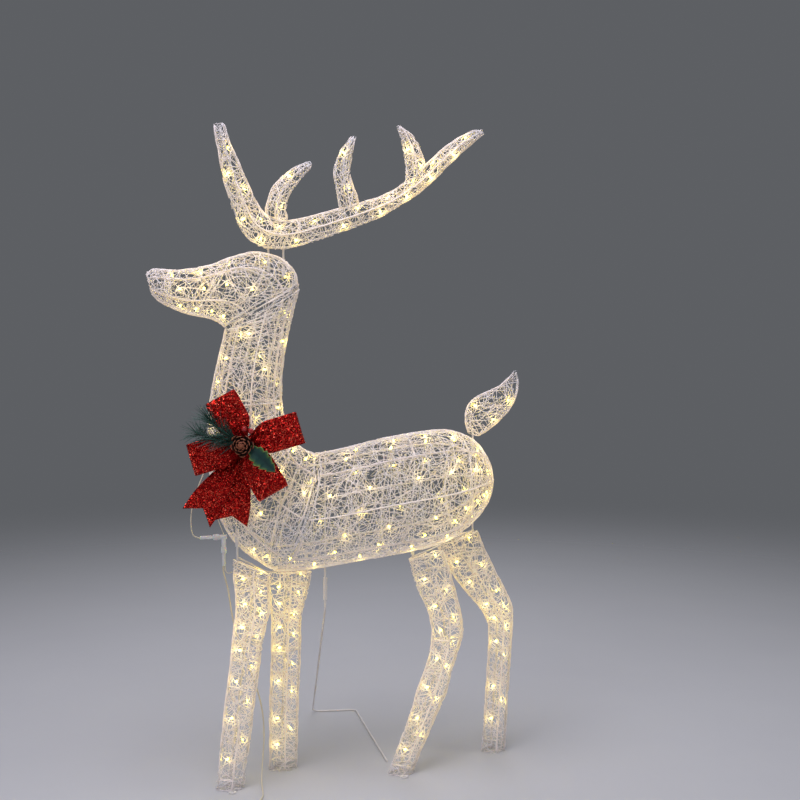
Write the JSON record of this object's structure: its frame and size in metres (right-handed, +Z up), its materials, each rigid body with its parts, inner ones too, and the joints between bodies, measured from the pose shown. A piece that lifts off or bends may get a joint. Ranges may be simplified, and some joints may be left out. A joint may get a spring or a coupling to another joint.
{
  "type": "light up yard reindeer",
  "caption": "Standing wire-frame reindeer yard light: thread-covered sections with warm LED strings, lift-off antler, plug-in leg pairs, prop stand, red bow and power lead.",
  "frame": {"origin": "middle of the footprint of the deer and its stand, on the ground", "axes": "+Z up, the nose points to -X, the deer's left side faces -Y"},
  "size_m": [0.767, 0.6261, 1.313],
  "materials": {
    "spun_thread": "white spun plastic thread",
    "coated_wire": "white powder-coated steel wire",
    "led_lens": "clear lens, warm white",
    "light_string": "cream insulated light string",
    "lead_sheath": "cream flexible lead",
    "connector_plastic": "milky moulded plastic",
    "glitter_ribbon": "red glitter ribbon",
    "cone_scales": "dry brown cone",
    "leaf_cloth": "printed cloth leaf with a cream edge",
    "pine_needles": "dark green needles",
    "berry_lacquer": "glossy red",
    "tie_plastic": "soft white strip",
    "tie_wire": "thin coated tie wire"
  },
  "bodies": {
    "frame_and_skin": {"berries": "berry_lacquer", "bow_knot": "glitter_ribbon", "bow_loops": "glitter_ribbon", "bow_tails": "glitter_ribbon", "bow_tie_wire": "tie_wire", "head_frame": "coated_wire", "head_skin": "spun_thread", "holly_leaf": "leaf_cloth", "lead_coil": "lead_sheath", "lead_cord": "lead_sheath", "lead_plug": "connector_plastic", "lead_tie": "tie_plastic", "leg_jumper": "lead_sheath", "legs_plug": "connector_plastic", "neck_and_head_bulbs": "led_lens", "neck_and_head_light_string": "light_string", "neck_frame": "coated_wire", "neck_jumper": "lead_sheath", "neck_plug": "connector_plastic", "neck_skin": "spun_thread", "needle_sprig": "pine_needles", "pine_cone": "cone_scales", "prong_sockets": "coated_wire", "splitter_tee": "connector_plastic", "splitter_tie": "tie_wire", "stand_rod": "coated_wire", "stand_sleeve": "coated_wire", "torso_bulbs": "led_lens", "torso_frame": "coated_wire", "torso_light_string": "light_string", "torso_skin": "spun_thread"},
    "antler": {"antler_bulbs": "led_lens", "antler_frame": "coated_wire", "antler_light_string": "light_string", "antler_prongs": "coated_wire", "antler_skin": "spun_thread"},
    "tail": {"tail_bulbs": "led_lens", "tail_frame": "coated_wire", "tail_light_string": "light_string", "tail_prong": "coated_wire", "tail_skin": "spun_thread"},
    "front_legs": {"front_leg_left_skin": "spun_thread", "front_leg_right_skin": "spun_thread", "front_legs_bulbs": "led_lens", "front_legs_frame": "coated_wire", "front_legs_light_string": "light_string", "front_stake_eyes": "coated_wire"},
    "rear_legs": {"rear_leg_left_skin": "spun_thread", "rear_leg_right_skin": "spun_thread", "rear_legs_bulbs": "led_lens", "rear_legs_frame": "coated_wire", "rear_legs_light_string": "light_string", "rear_stake_eyes": "coated_wire"},
    "stand": {"stand_base": "coated_wire"},
    "neck_collar": {"neck_collar": "connector_plastic"},
    "legs_collar": {"legs_collar": "connector_plastic"},
    "lead_collar": {"lead_collar": "connector_plastic"}
  },
  "joints": [
    {"name": "antler_lift", "type": "slide", "parent": "frame_and_skin", "child": "antler", "axis": [0, 0, 1], "range_m": [0, 0.024]},
    {"name": "tail_lift", "type": "slide", "parent": "frame_and_skin", "child": "tail", "axis": [0, 0, 1], "range_m": [0, 0.018]},
    {"name": "front_legs_pull", "type": "slide", "parent": "frame_and_skin", "child": "front_legs", "axis": [0, 0, -1], "range_m": [0, 0.022]},
    {"name": "rear_legs_pull", "type": "slide", "parent": "frame_and_skin", "child": "rear_legs", "axis": [0, 0, -1], "range_m": [0, 0.022]},
    {"name": "stand_pull", "type": "slide", "parent": "frame_and_skin", "child": "stand", "axis": [0, 0, -1], "range_m": [0, 0.018]},
    {"name": "neck_collar_turn", "type": "hinge", "parent": "frame_and_skin", "child": "neck_collar", "pos_m": [-0.2515, -0.13377, 0.494], "axis": [1, 0, 0], "range_deg": [0, 540]},
    {"name": "legs_collar_turn", "type": "hinge", "parent": "frame_and_skin", "child": "legs_collar", "pos_m": [-0.2375, -0.13377, 0.468], "axis": [0, 0, 1], "range_deg": [0, 540]},
    {"name": "lead_collar_turn", "type": "hinge", "parent": "frame_and_skin", "child": "lead_collar", "pos_m": [-0.2775, -0.30977, 0.0058], "axis": [1, 0, 0], "range_deg": [0, 540]}
  ]
}
